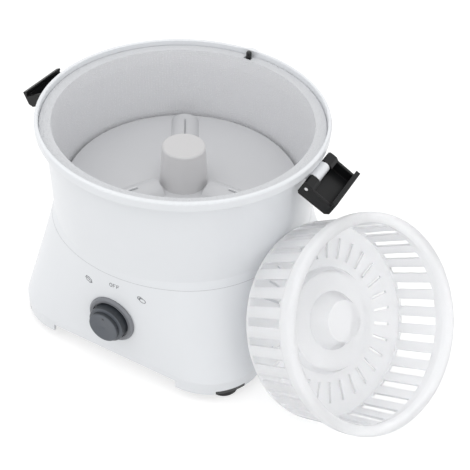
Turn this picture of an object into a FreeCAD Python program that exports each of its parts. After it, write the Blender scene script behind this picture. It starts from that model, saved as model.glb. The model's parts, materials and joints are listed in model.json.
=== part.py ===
import FreeCAD, Part
import math
import os
import Sketcher

# Electric potato peeler with its salad basket, millimetres.
# +Z is up. The origin is on the bowl's axis, at the height of the soles of the feet.
# The control knob faces -Y, the latches stand at +X and -X, the interlock pin at +Y.

V = FreeCAD.Vector
TURN_X = V(1, 0, 0)
TURN_Y = V(0, 1, 0)
TURN_Z = V(0, 0, 1)

# Driving dimensions, one name for each size that can be set by itself
SIZES = {
    # housing heights
    "leg_z": 9.0,
    "cutout_z": 16.5,
    "skirt_z": 22.0,
    "seam_z": 103.0,
    "crease_z": 110.0,
    "ledge_drop": 7.0,
    "lip_drop": 8.0,
    "ledge": 3.4,
    "rim_z": 196.0,
    # housing plan sizes, each worked out from the bowl it holds
    "well_top_gap": 1.4,
    "well_low_gap": 2.2,
    "neck_wall": 3.0,
    "neck_taper": 1.7,
    "rim_step": 7.3,
    "rim_wall": 3.3,
    "rim_round": 1.6,
    "rim_inner_round": 1.0,
    "lip_round": 1.2,
    "base_flare": 4.5,
    "base_corner": 50.0,
    "side_angle": 28.0,
    "casing_wall": 2.6,
    "cutout_inset": 53.0,
    "well_floor_z": 114.0,
    "well_floor": 3.0,
    "tongue_drop": 6.0,
    "tongue_wall": 2.4,
    # gaps
    "seat_gap": 0.3,
    "run_gap": 0.05,
    "fit_gap": 0.03,
    # feet and bottom
    "foot_inset_x": 23.0,
    "foot_inset_y": 29.0,
    "foot_radius": 13.0,
    "foot_round": 1.5,
    "foot_seat": 5.0,
    "plate_z": 15.0,
    "plate": 2.5,
    "post_radius": 5.0,
    "post_top": 40.0,
    "screw_radius": 1.9,
    "screw_head": 4.0,
    "screw_head_depth": 2.5,
    "screw_room": 4.0,
    "vent_length": 40.0,
    "vent_width": 3.0,
    "vent_pitch": 9.0,
    "vents": 7.0,
    # peeling bowl
    "bowl_floor_z": 118.0,
    "bowl_floor": 2.5,
    "bowl_wall": 2.4,
    "bowl_top_radius": 105.4,
    "bowl_taper": 2.4,
    "bowl_lead": 1.2,
    "bowl_round": 2.0,
    "bowl_neck_drop": 10.0,
    "flange_gap": 0.6,
    "flange": 2.0,
    "hub_tube_radius": 10.0,
    "hub_tube_wall": 2.0,
    "hub_tube_top": 133.0,
    # peeling disc and centre column
    "disc_z": 123.0,
    "disc": 3.0,
    "disc_gap": 3.0,
    "wave_margin": 3.0,
    "wave_in_gap": 4.0,
    "wave_out_gap": 8.0,
    "waves": 3.0,
    "wave_height": 7.0,
    "wave_width": 15.0,
    "blade_length": 38.0,
    "blade_start": 44.0,
    "blade": 0.8,
    "blade_room": 0.4,
    "blade_rise": 1.6,
    "column_foot_radius": 20.5,
    "column_top_radius": 18.2,
    "column_z": 162.0,
    "column_wall": 2.2,
    "socket_wall": 2.5,
    "socket_gap": 0.25,
    "column_round": 1.8,
    # drive
    "shaft_radius": 4.0,
    "shaft_low_z": 38.0,
    "dog_cap": 2.0,
    "dog_radius": 7.0,
    "dog_z": 137.0,
    "dog": 14.0,
    "bearing_radius": 11.0,
    "bearing": 7.0,
    "housing_low_z": 60.0,
    "housing_radius": 13.5,
    "housing_flange_radius": 24.0,
    "housing_flange": 3.5,
    "bearing_step": 2.0,
    "bearing_groove": 1.5,
    "bearing_shield": 0.6,
    "seal_rise": 0.7,
    "motor_x": 50.0,
    "motor_y": 46.0,
    "motor_radius": 28.0,
    "motor": 48.0,
    "motor_wall": 1.6,
    "motor_shaft_radius": 2.5,
    "armature_radius": 19.0,
    "armature_rise": 8.0,
    "armature": 26.0,
    "commutator_radius": 6.0,
    "commutator": 9.0,
    "winding_collar_radius": 4.0,
    "magnet": 5.0,
    "magnet_rise": 6.0,
    "magnet_length": 32.0,
    "magnet_split": 16.0,
    "end_cap": 3.0,
    "brush_length": 8.0,
    "brush_width": 5.0,
    "brush_x": 11.0,
    "pulley_z": 41.0,
    "pulley": 10.0,
    "pulley_flange": 1.5,
    "pulley_lip": 2.0,
    "big_pulley_radius": 44.0,
    "small_pulley_radius": 8.0,
    "web_place": 0.55,
    "web_size": 0.22,
    "web_holes": 6.0,
    "belt": 1.8,
    "chassis_z": 54.0,
    "chassis": 2.5,
    "chassis_post_radius": 4.0,
    "chassis_back": 32.0,
    "chassis_reach": 42.0,
    "chassis_gap": 6.5,
    "post_far": 84.0,
    "post_near": 30.0,
    "post_side": 50.0,
    "post_back": 24.0,
    # control knob
    "knob_z": 56.0,
    "bezel_radius": 21.5,
    "bezel_height": 2.6,
    "bezel_inner_radius": 17.4,
    "bezel_floor": 0.8,
    "knob_radius": 16.2,
    "knob_step": 9.0,
    "knob_face_radius": 13.6,
    "knob_height": 13.0,
    "knob_dish": 0.9,
    "knob_top": 4.0,
    "knob_face_edge": 1.4,
    "knob_lift": 0.5,
    "knob_shaft_radius": 3.0,
    "knob_shaft_back": 12.0,
    "switch_bush_radius": 4.5,
    "switch_width": 25.0,
    "switch_depth": 16.0,
    "switch_tab_pitch": 8.0,
    # cord inlet, terminal block and control board
    "cord_z": 34.0,
    "cord_neck_radius": 5.0,
    "cord_bore_radius": 3.2,
    "cord_collar": 3.0,
    "cord_collar_height": 3.5,
    "terminal_inset": 31.0,
    "terminal_length": 34.0,
    "terminal_width": 14.0,
    "terminal_pitch": 11.0,
    "board_inset_x": 53.0,
    "board_inset_y": 55.0,
    "board_length": 60.0,
    "board_width": 36.0,
    "board": 1.6,
    "board_leg": 5.0,
    "board_leg_radius": 2.5,
    "board_leg_inset": 5.0,
    "relay_length": 12.0,
    "relay_width": 18.0,
    "relay_height": 14.0,
    "relay_aside": 14.0,
    "choke_side": 10.0,
    "choke_aside": 8.0,
    "choke_back": 6.0,
    "capacitor_radius": 5.0,
    "capacitor_height": 16.0,
    "capacitor_aside": 18.0,
    "capacitor_back": 6.0,
    # latches
    "hinge_gap": 1.5,
    "hinge_drop": 15.0,
    "hinge_pin_radius": 1.5,
    "knuckle_radius": 4.5,
    "latch_half_width": 23.5,
    "latch_length": 25.5,
    "latch_wall": 2.5,
    "latch_depth": 8.0,
    "latch_rise": 2.0,
    "latch_hook_rise": 6.5,
    "latch_hook": 1.4,
    "latch_bevel": 3.0,
    "lug_half_width": 10.0,
    "latch_open_angle": 25.0,
    # interlock pin
    "pin_inset": 0.2,
    "pin_radius": 2.5,
    "pin_show": 1.0,
    "pin_low_z": 108.0,
    "pin_bore_radius": 2.8,
    "boss_radius": 5.4,
    "bulge_radius": 9.0,
    "pin_arm": 4.0,
    "pin_travel": 4.0,
    "pin_arm_length": 13.0,
    "microswitch_z": 92.0,
    "microswitch": 11.0,
    "microswitch_length": 20.0,
    "microswitch_width": 6.5,
    "microswitch_back": 17.0,
    "bracket_length": 28.0,
    "bracket": 2.0,
    "bracket_tab": 12.0,
    "shelf_rise": 6.0,
    "shelf": 3.0,
    "shelf_width": 4.6,
    "shelf_ahead": 10.9,
    "spring_radius": 1.6,
    "spring_wire": 0.35,
    "spring_turns": 4.0,
    "spring_inset": 10.4,
    # salad basket
    "basket_radius": 86.0,
    "basket_low_radius": 81.5,
    "basket_depth": 61.0,
    "basket_wall": 2.2,
    "basket_floor": 2.4,
    "basket_roll": 8.5,
    "basket_roll_height": 13.0,
    "basket_roll_round": 3.8,
    "basket_foot_round": 2.0,
    "basket_slot_low": 4.0,
    "basket_slot_top": 44.0,
    "basket_slot_width": 6.4,
    "basket_slots": 34.0,
    "floor_slot_inner": 51.0,
    "floor_slot_outer": 68.0,
    "floor_slot_width": 2.2,
    "floor_slots": 30.0,
    "hub_ring_radius": 42.0,
    "hub_ring_height": 8.0,
    "hub_cone_radius": 20.0,
    "hub_cone_height": 22.0,
    "basket_lean": 36.0,
    "basket_turn": -20.0,
    "basket_away": 41.0,
    "basket_aside": 31.4,
}


class Size:
    """A length with its number and the sheet expression that gives it."""

    def __init__(self, value, text):
        self.value = float(value)
        self.text = text

    def join(self, other, sign, value):
        return Size(value, "(" + self.text + " " + sign + " " + as_size(other).text + ")")

    def __add__(self, other):
        return self.join(other, "+", self.value + as_size(other).value)

    def __sub__(self, other):
        return self.join(other, "-", self.value - as_size(other).value)

    def __mul__(self, other):
        return self.join(other, "*", self.value * as_size(other).value)

    def __truediv__(self, other):
        return self.join(other, "/", self.value / as_size(other).value)

    def __neg__(self):
        return as_size(0) - self

    def __float__(self):
        return self.value


def as_size(number):
    if isinstance(number, Size):
        return number
    return Size(number, repr(float(number)))


class Sheet:
    """The spreadsheet's aliases as attributes."""


doc = FreeCAD.newDocument("ElectricPotatoPeeler")
table = doc.addObject("Spreadsheet::Sheet", "Sizes")
s = Sheet()
for row, alias in enumerate(SIZES, 1):
    table.set("A%d" % row, alias.replace("_", " "))
    table.set("B%d" % row, repr(SIZES[alias]))
    table.setAlias("B%d" % row, alias)
    setattr(s, alias, Size(SIZES[alias], "Sizes." + alias))
doc.recompute()

# Sizes that follow from others
s.bowl_low_radius = s.bowl_top_radius - s.bowl_taper
s.ledge_z = s.rim_z - s.ledge_drop
s.lip_z = s.rim_z - s.lip_drop
s.bowl_neck_z = s.ledge_z - s.bowl_neck_drop
s.disc_radius = s.bowl_low_radius - s.disc_gap
s.well_top_radius = s.bowl_top_radius + s.bowl_wall + s.well_top_gap
s.well_low_radius = s.bowl_low_radius + s.bowl_wall + s.well_low_gap
s.neck_radius = s.well_top_radius + s.neck_wall
s.waist_radius = s.neck_radius - s.neck_taper
s.rim_radius = s.neck_radius + s.rim_step
s.flange_radius = s.rim_radius - s.rim_wall - s.flange_gap
s.base_half = s.waist_radius + s.base_flare
s.cutout_half = s.base_half - s.cutout_inset
s.foot_x = s.base_half - s.foot_inset_x
s.foot_y = s.base_half - s.foot_inset_y
s.hinge_x = s.rim_radius + s.hinge_gap
s.hinge_z = s.rim_z - s.hinge_drop
s.pin_y = s.neck_radius - s.pin_inset
s.pin_top_z = s.rim_z + s.pin_show
s.microswitch_y = s.pin_y - s.microswitch_back
s.motor_floor_z = s.chassis_z + s.chassis

nodes = []


def node(item, label):
    """Names a finished sub-part."""
    item.Label = label
    nodes.append(item)
    return item


def bind(item, name, size):
    item.setExpression(name, as_size(size).text)


# Sketch helpers

def origin_plane(body, role):
    return [item for item in body.Origin.OriginFeatures if item.Role == role][0]


def new_body(label):
    return node(doc.addObject("PartDesign::Body", label), label)


def empty_sketch(body, role, lift=None):
    sketch = body.newObject("Sketcher::SketchObject", body.Name + "Sketch")
    sketch.AttachmentSupport = (origin_plane(body, role), [""])
    sketch.MapMode = "FlatFace"
    if lift is not None:
        bind(sketch, ".AttachmentOffset.Base.z", lift)
    return sketch


def pin_down(sketch, index, end, x, y):
    """Fixes one point of the sketch at x and y from the origin."""
    for kind, size, axis in (("DistanceX", as_size(x), -2), ("DistanceY", as_size(y), -1)):
        if abs(size.value) < 1e-9:
            sketch.addConstraint(Sketcher.Constraint("PointOnObject", index, end, axis))
        else:
            rule = Sketcher.Constraint(kind, -1, 1, index, end, size.value)
            number = sketch.addConstraint(rule)
            bind(sketch, "Constraints[%d]" % number, size)


def polygon(body, role, points, lift=None):
    sketch = empty_sketch(body, role, lift)
    places = [V(float(x), float(y), 0) for x, y in points]
    count = len(points)
    for i in range(count):
        sketch.addGeometry(Part.LineSegment(places[i], places[(i + 1) % count]), False)
    for i in range(count):
        sketch.addConstraint(Sketcher.Constraint("Coincident", i, 2, (i + 1) % count, 1))
    for i, (x, y) in enumerate(points):
        pin_down(sketch, i, 1, x, y)
    return sketch


def rings(body, role, circles, lift=None):
    """A sketch of whole circles, each given as x, y and radius."""
    sketch = empty_sketch(body, role, lift)
    for x, y, radius in circles:
        circle = Part.Circle(V(float(x), float(y), 0), V(0, 0, 1), float(radius))
        index = sketch.addGeometry(circle, False)
        pin_down(sketch, index, 3, x, y)
        number = sketch.addConstraint(Sketcher.Constraint("Radius", index, float(radius)))
        bind(sketch, "Constraints[%d]" % number, radius)
    return sketch


def revolve(body, points):
    turn = body.newObject("PartDesign::Revolution", body.Name + "Turn")
    turn.Profile = polygon(body, "XZ_Plane", points)
    turn.ReferenceAxis = (turn.Profile[0], ["V_Axis"])
    turn.Angle = 360
    doc.recompute()
    return turn


def pad(body, sketch, length, both_ways=False):
    feature = body.newObject("PartDesign::Pad", body.Name + "Pad")
    feature.Profile = sketch
    bind(feature, "Length", length)
    if both_ways:
        feature.SideType = "Symmetric"
    doc.recompute()
    return feature


def pocket(body, sketch, length):
    """Cuts the sketch to both sides of its plane and makes sure that it took something."""
    before = body.Shape.Volume
    feature = body.newObject("PartDesign::Pocket", body.Name + "Pocket")
    feature.Profile = sketch
    bind(feature, "Length", length)
    feature.SideType = "Symmetric"
    doc.recompute()
    if not body.Shape.Volume < before:
        raise RuntimeError("a pocket of " + body.Label + " cuts nothing")
    return feature


def round_rings(body, places, radius):
    """Rounds the circular edges at the given radius and height."""
    tip = body.Tip
    names = []
    for number, edge in enumerate(tip.Shape.Edges, 1):
        if edge.Curve.TypeId != "Part::GeomCircle":
            continue
        for ring, height in places:
            near = abs(edge.Curve.Radius - float(ring)) < 0.02
            if near and abs(edge.Curve.Center.z - float(height)) < 0.02:
                names.append("Edge%d" % number)
    fillet = body.newObject("PartDesign::Fillet", body.Name + "Round")
    fillet.Base = (tip, names)
    bind(fillet, "Radius", radius)
    doc.recompute()
    return fillet


def polar(body, feature, count):
    pattern = body.newObject("PartDesign::PolarPattern", body.Name + "Pattern")
    pattern.Originals = [feature]
    pattern.Axis = (feature.Profile[0], ["N_Axis"])
    if feature.Profile[0].AttachmentSupport[0][0].Role == "XZ_Plane":
        pattern.Axis = (feature.Profile[0], ["V_Axis"])
    pattern.Angle = 360
    pattern.Occurrences = int(float(count))
    body.Tip = pattern
    doc.recompute()
    return pattern


# Primitive helpers

def place(item, x, y, z, turn=None):
    if turn is not None:
        item.Placement = FreeCAD.Placement(V(), turn)
    bind(item, "Placement.Base.x", x)
    bind(item, "Placement.Base.y", y)
    bind(item, "Placement.Base.z", z)
    return item


def cylinder(radius, height, x=0, y=0, z=0, turn=None):
    item = doc.addObject("Part::Cylinder", "Round")
    bind(item, "Radius", radius)
    bind(item, "Height", height)
    return place(item, x, y, z, turn)


def box(length, width, height, x, y, z, turn=None):
    """A box centred on x and y that stands on z."""
    item = doc.addObject("Part::Box", "Block")
    bind(item, "Length", length)
    bind(item, "Width", width)
    bind(item, "Height", height)
    half_x = as_size(length) / 2
    half_y = as_size(width) / 2
    return place(item, as_size(x) - half_x, as_size(y) - half_y, z, turn)


def fuse(items, label="Joined"):
    result = doc.addObject("Part::MultiFuse", label)
    result.Shapes = items
    return result


def cut(base, tools, label="Cut"):
    result = doc.addObject("Part::Cut", label)
    result.Base = base
    result.Tool = tools[0] if len(tools) == 1 else fuse(tools)
    return result


def group(items, label):
    result = doc.addObject("Part::Compound", label)
    result.Links = items
    return result


def tube(outer, inner, height, x=0, y=0, z=0, label="Tube"):
    bore = cylinder(inner, as_size(height) + 2, x, y, as_size(z) - 1)
    return cut(cylinder(outer, height, x, y, z), [bore], label)


def solid_feature(shape, label):
    item = doc.addObject("Part::Feature", label)
    item.Shape = shape
    return item


# Housing walls: a round waist that flares to a rounded square foot

def quarter_turns(edges):
    wire = []
    for quarter in range(4):
        for edge in edges:
            copy = edge.copy()
            copy.rotate(V(), TURN_Z, 90 * quarter)
            wire.append(copy)
    return Part.Wire(wire)


def round_section(radius, z):
    """A circle split where the square section has its straight sides and its corners."""
    split = math.radians(float(s.side_angle))

    def spot(angle):
        return V(radius * math.cos(angle), radius * math.sin(angle), z)

    side = Part.Arc(spot(-split), spot(0), spot(split))
    corner = Part.Arc(spot(split), spot(math.pi / 4), spot(math.pi / 2 - split))
    return quarter_turns([side.toShape(), corner.toShape()])


def square_section(half, corner, z):
    flat = half - corner
    middle = flat + corner * math.sqrt(0.5)
    side = Part.LineSegment(V(half, -flat, z), V(half, flat, z))
    bend = Part.Arc(V(half, flat, z), V(middle, middle, z), V(flat, half, z))
    return quarter_turns([side.toShape(), bend.toShape()])


def flare(inset, low_z):
    """The housing's foot: the flare and the straight skirt under it, moved in by inset."""
    half = float(s.base_half) - inset
    corner = float(s.base_corner) - inset
    top = round_section(float(s.waist_radius) - inset, float(s.crease_z))
    foot = square_section(half, corner, float(s.skirt_z))
    slope = Part.makeLoft([top, foot], True, True)
    base = Part.Face(square_section(half, corner, low_z))
    skirt = base.extrude(V(0, 0, float(s.skirt_z) - low_z))
    return slope.fuse(skirt).removeSplitter()


def face_reach(z):
    """How far the middle of a side stands from the axis at a height."""
    share = (float(s.crease_z) - z) / (float(s.crease_z) - float(s.skirt_z))
    return float(s.waist_radius) + share * (float(s.base_half) - float(s.waist_radius))


PANEL_TILT = math.degrees(math.atan2(float(s.base_half - s.waist_radius),
                                     float(s.crease_z - s.skirt_z)))


def on_panel(item, z, back=False):
    """Stands a piece, made along +Z, on the front or back wall at a height."""
    angle = 90 - PANEL_TILT
    reach = face_reach(float(z))
    spin = FreeCAD.Rotation(TURN_X, angle)
    spot = V(0, -reach, float(z))
    if back:
        spin = FreeCAD.Rotation(TURN_Z, 180).multiply(spin)
        spot = V(0, reach, float(z))
    item.Placement = FreeCAD.Placement(spot, spin)
    return item


def panel_hole(radius, z, back=False):
    depth = 10 * float(s.casing_wall)
    hole = Part.makeCylinder(float(radius), depth, V(0, 0, -depth / 2))
    return on_panel(solid_feature(hole, "PanelHole"), z, back).Shape


FEET = [(sx, sy) for sy in (-1, 1) for sx in (-1, 1)]


def lower_casing():
    wall = float(s.casing_wall)
    outer = flare(0, float(s.leg_z))
    inner = flare(wall, float(s.leg_z) - 1)
    shell = outer.cut(inner)
    reach = 2 * float(s.base_half)
    above = Part.makeBox(2 * reach, 2 * reach, reach, V(-reach, -reach, float(s.seam_z)))
    shell = shell.cut(above)
    width = 2 * float(s.cutout_half)
    notch_height = float(s.cutout_z) - float(s.leg_z) + 1
    low = float(s.leg_z) - 1
    shell = shell.cut(Part.makeBox(width, 2 * reach, notch_height, V(-width / 2, -reach, low)))
    shell = shell.cut(Part.makeBox(2 * reach, width, notch_height, V(-reach, -width / 2, low)))
    shell = shell.cut(panel_hole(s.switch_bush_radius + 0.5, s.knob_z))
    shell = shell.cut(panel_hole(s.cord_neck_radius + 0.3, s.cord_z, True))
    plate_top = float(s.plate_z + s.plate)
    height = float(s.post_top) - plate_top
    inside = flare(wall / 2, float(s.leg_z))
    for sx, sy in FEET:
        spot = V(sx * float(s.foot_x), sy * float(s.foot_y), plate_top)
        post = Part.makeCylinder(float(s.post_radius), height, spot)
        rib = Part.makeBox(reach, wall, height, V(0, -wall / 2, 0))
        rib.rotate(V(), TURN_Z, math.degrees(math.atan2(sy, sx)))
        rib.translate(spot)
        depth = height - float(s.screw_room)
        hole = Part.makeCylinder(float(s.screw_radius + s.fit_gap), depth, spot)
        shell = shell.fuse(post.fuse(rib.common(inside))).cut(hole)
    return node(solid_feature(shell.removeSplitter(), "lower_casing"), "lower_casing")


def upper_casing():
    body = doc.addObject("PartDesign::Body", "upper_cup")
    tongue = s.waist_radius - s.casing_wall - s.seat_gap
    floor_low = s.well_floor_z
    floor_top = s.well_floor_z + s.well_floor
    revolve(body, [
        (s.bearing_radius + 0.2, floor_low),
        (tongue - s.tongue_wall, floor_low),
        (tongue - s.tongue_wall, s.seam_z - s.tongue_drop),
        (tongue, s.seam_z - s.tongue_drop),
        (tongue, s.seam_z),
        (s.waist_radius, s.seam_z),
        (s.waist_radius, s.crease_z),
        (s.neck_radius, s.ledge_z - s.ledge),
        (s.rim_radius, s.lip_z),
        (s.rim_radius, s.rim_z),
        (s.rim_radius - s.rim_wall, s.rim_z),
        (s.rim_radius - s.rim_wall, s.ledge_z),
        (s.well_top_radius, s.ledge_z),
        (s.well_low_radius, floor_top),
        (s.bearing_radius + 0.2, floor_top),
    ])
    round_rings(body, [(s.rim_radius, s.rim_z)], s.rim_round)
    round_rings(body, [(s.rim_radius - s.rim_wall, s.rim_z)], s.rim_inner_round)
    round_rings(body, [(s.rim_radius, s.lip_z)], s.lip_round)
    band = flare(0, float(s.leg_z))
    size = 2 * float(s.base_half)
    slab_height = float(s.crease_z - s.seam_z)
    slab = Part.makeBox(2 * size, 2 * size, slab_height, V(-size, -size, float(s.seam_z)))
    core = Part.makeCylinder(float(tongue) + 0.5, float(s.rim_z))
    shoulder = solid_feature(band.common(slab).cut(core), "Shoulder")
    boss = cylinder(s.boss_radius, s.ledge_z - s.seam_z, 0, s.pin_y, s.seam_z)
    boss_rest = cut(boss, [cylinder(s.well_top_radius - 1, s.rim_z)])
    bulge = cylinder(s.bulge_radius, s.rim_z - s.lip_z, 0, s.pin_y, s.lip_z)
    bulge_rest = cut(bulge, [cylinder(s.rim_radius - s.rim_wall, s.rim_z + 1)])
    lugs = []
    for side in (1, -1):
        lug_x = (s.hinge_x + s.neck_radius - 2) / 2 * side
        lug_length = s.hinge_x - s.neck_radius + 2
        knuckle = cylinder(s.knuckle_radius, s.lug_half_width * 2, s.hinge_x * side,
                           s.lug_half_width, s.hinge_z, FreeCAD.Rotation(TURN_X, 90))
        web_height = s.knuckle_radius + 1.5
        web = box(lug_length, s.lug_half_width * 2, web_height, lug_x, 0, s.hinge_z - 1.5)
        lugs.extend([knuckle, web])
    whole = fuse([body, shoulder, boss_rest, bulge_rest] + lugs)
    slot_length = s.boss_radius * 2 + 8
    tools = [
        cylinder(s.pin_bore_radius, s.rim_z, 0, s.pin_y, s.seam_z - 1),
        box(s.pin_radius * 2 + 1, slot_length, s.well_floor_z - s.seam_z - 1, 0,
            s.pin_y - slot_length / 2, s.seam_z + 0.7),
    ]
    for side in (1, -1):
        tools.append(cylinder(s.hinge_pin_radius + s.fit_gap, s.lug_half_width * 2 + 2,
                              s.hinge_x * side, s.lug_half_width + 1, s.hinge_z,
                              FreeCAD.Rotation(TURN_X, 90)))
    return node(cut(whole, tools, "upper_casing"), "upper_casing")


def bottom_plate():
    gap = float(s.casing_wall + s.seat_gap)
    outline = square_section(float(s.base_half) - gap, float(s.base_corner) - gap, float(s.plate_z))
    plate = Part.Face(outline).extrude(V(0, 0, float(s.plate)))
    count = int(float(s.vents))
    for i in range(count):
        y = (i - (count - 1) / 2) * float(s.vent_pitch)
        slot = Part.makeBox(float(s.vent_length), float(s.vent_width), 2 + float(s.plate),
                            V(-float(s.vent_length) / 2, y - float(s.vent_width) / 2,
                              float(s.plate_z) - 1))
        plate = plate.cut(slot)
    for sx, sy in FEET:
        spot = V(sx * float(s.foot_x), sy * float(s.foot_y), 0)
        hole = Part.makeCylinder(float(s.screw_radius + s.seat_gap), float(s.post_top), spot)
        plate = plate.cut(hole)
    return node(solid_feature(plate, "bottom_plate"), "bottom_plate")


def feet():
    names = {(-1, -1): "foot_front_left", (1, -1): "foot_front_right",
             (-1, 1): "foot_rear_left", (1, 1): "foot_rear_right"}
    for sx, sy in FEET:
        body = new_body(names[(sx, sy)])
        revolve(body, [
            (s.screw_head + 0.5, 0),
            (s.foot_radius, 0),
            (s.foot_radius, s.plate_z),
            (s.screw_radius + s.seat_gap, s.plate_z),
            (s.screw_radius + s.seat_gap, s.plate_z - s.foot_seat),
            (s.screw_head + 0.5, s.plate_z - s.foot_seat),
        ])
        round_rings(body, [(s.foot_radius, 0)], s.foot_round)
        place(body, s.foot_x * sx, s.foot_y * sy, 0)


def foot_screws():
    items = []
    for sx, sy in FEET:
        x = s.foot_x * sx
        y = s.foot_y * sy
        seat = s.plate_z - s.foot_seat
        head = cylinder(s.screw_head, s.screw_head_depth, x, y, seat - s.screw_head_depth)
        length = s.post_top - s.screw_room - 2 - seat
        shank = cylinder(s.screw_radius, length, x, y, seat)
        items.append(fuse([head, shank]))
    node(group(items, "foot_screws"), "foot_screws")


# Peeling bowl, disc and centre column

def peeling_bowl():
    body = new_body("peeling_bowl")
    under = s.ledge_z
    tube_out = s.hub_tube_radius + s.hub_tube_wall
    top = s.ledge_z + s.flange
    revolve(body, [
        (s.hub_tube_radius, s.bowl_floor_z),
        (s.bowl_low_radius + s.bowl_wall, s.bowl_floor_z),
        (s.bowl_top_radius + s.bowl_wall, s.bowl_neck_z),
        (s.bowl_top_radius + s.bowl_wall, under),
        (s.flange_radius, under),
        (s.flange_radius, top),
        (s.bowl_top_radius + s.bowl_lead, top),
        (s.bowl_top_radius, s.bowl_neck_z),
        (s.bowl_low_radius, s.bowl_floor_z + s.bowl_floor),
        (tube_out, s.bowl_floor_z + s.bowl_floor),
        (tube_out, s.hub_tube_top),
        (s.hub_tube_radius, s.hub_tube_top),
    ])
    round_rings(body, [(s.bowl_low_radius, s.bowl_floor_z + s.bowl_floor)], s.bowl_round)
    notch = polygon(body, "XY_Plane", [
        (-(s.pin_radius + 1), s.pin_y - s.pin_radius - 1),
        (s.pin_radius + 1, s.pin_y - s.pin_radius - 1),
        (s.pin_radius + 1, s.flange_radius + 2),
        (-(s.pin_radius + 1), s.flange_radius + 2),
    ], s.ledge_z + s.flange)
    pocket(body, notch, s.flange * 2 + 1)


def wave_turns():
    count = int(float(s.waves))
    return [FreeCAD.Rotation(TURN_Z, 360 / count * number) for number in range(count)]


def disc_waves():
    """Low radial waves of the peeling disc, each with room for a blade."""
    items = []
    for turn in wave_turns():
        ridge = doc.addObject("Part::Cylinder", "Ridge")
        bind(ridge, "Radius", s.wave_width)
        start = s.column_foot_radius + s.wave_in_gap
        bind(ridge, "Height", s.disc_radius - s.wave_out_gap - start)
        out = turn.multVec(V(float(start), 0, 0))
        sunk = float(s.wave_width - s.wave_height)
        spin = turn.multiply(FreeCAD.Rotation(TURN_Y, 90))
        z = float(s.disc_z + s.disc) - sunk
        ridge.Placement = FreeCAD.Placement(V(out.x, out.y, z), spin)
        items.append(ridge)
    return items


def peeling_disc():
    flat = tube(s.disc_radius, s.column_foot_radius + s.fit_gap, s.disc, 0, 0, s.disc_z)
    keep = cylinder(s.disc_radius - s.wave_margin, s.wave_width * 2, 0, 0, s.disc_z)
    hollow = cylinder(s.column_foot_radius + s.fit_gap, s.wave_width * 3, 0, 0, s.disc_z - 5)
    waves = doc.addObject("Part::MultiCommon", "Waves")
    waves.Shapes = [fuse(disc_waves()), keep]
    slots = []
    for turn in wave_turns():
        slots.append(blade_box(turn, s.blade_length + s.blade_room, s.blade + s.blade_room,
                               s.wave_width * 2, -1))
    node(cut(fuse([flat, waves]), [hollow] + slots, "peeling_disc"), "peeling_disc")


def blade_box(turn, length, width, height, lift):
    item = doc.addObject("Part::Box", "BladeBlock")
    bind(item, "Length", length)
    bind(item, "Width", width)
    bind(item, "Height", height)
    start = float(s.blade_start) + (float(s.blade_length) - float(length)) / 2
    corner = turn.multVec(V(start, -float(width) / 2, float(s.disc_z) + lift))
    item.Placement = FreeCAD.Placement(corner, turn)
    return item


def disc_blades():
    height = s.disc + s.wave_height + s.blade_rise
    items = [blade_box(turn, s.blade_length, s.blade, height, 0) for turn in wave_turns()]
    node(group(items, "disc_blades"), "disc_blades")


def centre_column():
    body = new_body("centre_column")
    wall = s.column_wall
    socket = s.dog_radius + s.socket_gap
    sleeve = socket + s.socket_wall
    roof = s.column_z - wall
    revolve(body, [
        (s.column_foot_radius - wall, s.disc_z),
        (s.column_foot_radius, s.disc_z),
        (s.column_foot_radius, s.disc_z + s.disc),
        (s.column_top_radius, s.column_z),
        (0, s.column_z),
        (0, s.dog_z + s.dog + 0.3),
        (socket, s.dog_z + s.dog + 0.3),
        (socket, s.dog_z + 0.5),
        (sleeve, s.dog_z + 0.5),
        (sleeve, roof),
        (s.column_top_radius - wall, roof),
    ])
    round_rings(body, [(s.column_top_radius, s.column_z)], s.column_round)


# Drive

def drive_spindle():
    height = s.dog_z + s.dog - s.dog_cap - s.shaft_low_z
    node(cylinder(s.shaft_radius, height, 0, 0, s.shaft_low_z), "drive_spindle")


def drive_dog():
    """Six-sided coupling dog on top of the spindle."""
    prism = doc.addObject("Part::Prism", "Hexagon")
    prism.Polygon = 6
    bind(prism, "Circumradius", s.dog_radius)
    bind(prism, "Height", s.dog)
    bind(prism, "Placement.Base.z", s.dog_z)
    bore = cylinder(s.shaft_radius + s.fit_gap, s.dog - s.dog_cap + 1, 0, 0, s.dog_z - 1)
    node(cut(prism, [bore], "drive_dog"), "drive_dog")


def spindle_housing():
    body = new_body("spindle_housing")
    under = s.well_floor_z
    seat = s.bearing_radius + s.fit_gap
    waist = s.bearing_radius - s.bearing_step
    low = s.housing_low_z
    depth = s.bearing + 0.5
    revolve(body, [
        (seat, low),
        (s.housing_radius, low),
        (s.housing_radius, under - s.housing_flange),
        (s.housing_flange_radius, under - s.housing_flange),
        (s.housing_flange_radius, under),
        (seat, under),
        (seat, under - depth),
        (waist, under - depth),
        (waist, low + depth),
        (seat, low + depth),
    ])


def bearings():
    upper_z = s.well_floor_z - s.bearing - 0.4
    for label, z in (("lower_bearing", s.housing_low_z), ("upper_bearing", upper_z)):
        body = new_body(label)
        bore = s.shaft_radius + s.fit_gap
        middle = (s.bearing_radius + bore) / 2
        inner = middle - s.bearing_groove
        outer = middle + s.bearing_groove
        top = z + s.bearing
        sink = s.bearing_shield
        revolve(body, [
            (bore, z), (inner, z), (inner, z + sink), (outer, z + sink), (outer, z),
            (s.bearing_radius, z), (s.bearing_radius, top), (outer, top), (outer, top - sink),
            (inner, top - sink), (inner, top), (bore, top),
        ])


def shaft_seal():
    height = s.well_floor + s.seal_rise
    node(tube(s.bearing_radius + 0.15, s.shaft_radius + s.run_gap, height, 0, 0,
              s.well_floor_z, "shaft_seal"), "shaft_seal")


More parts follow.
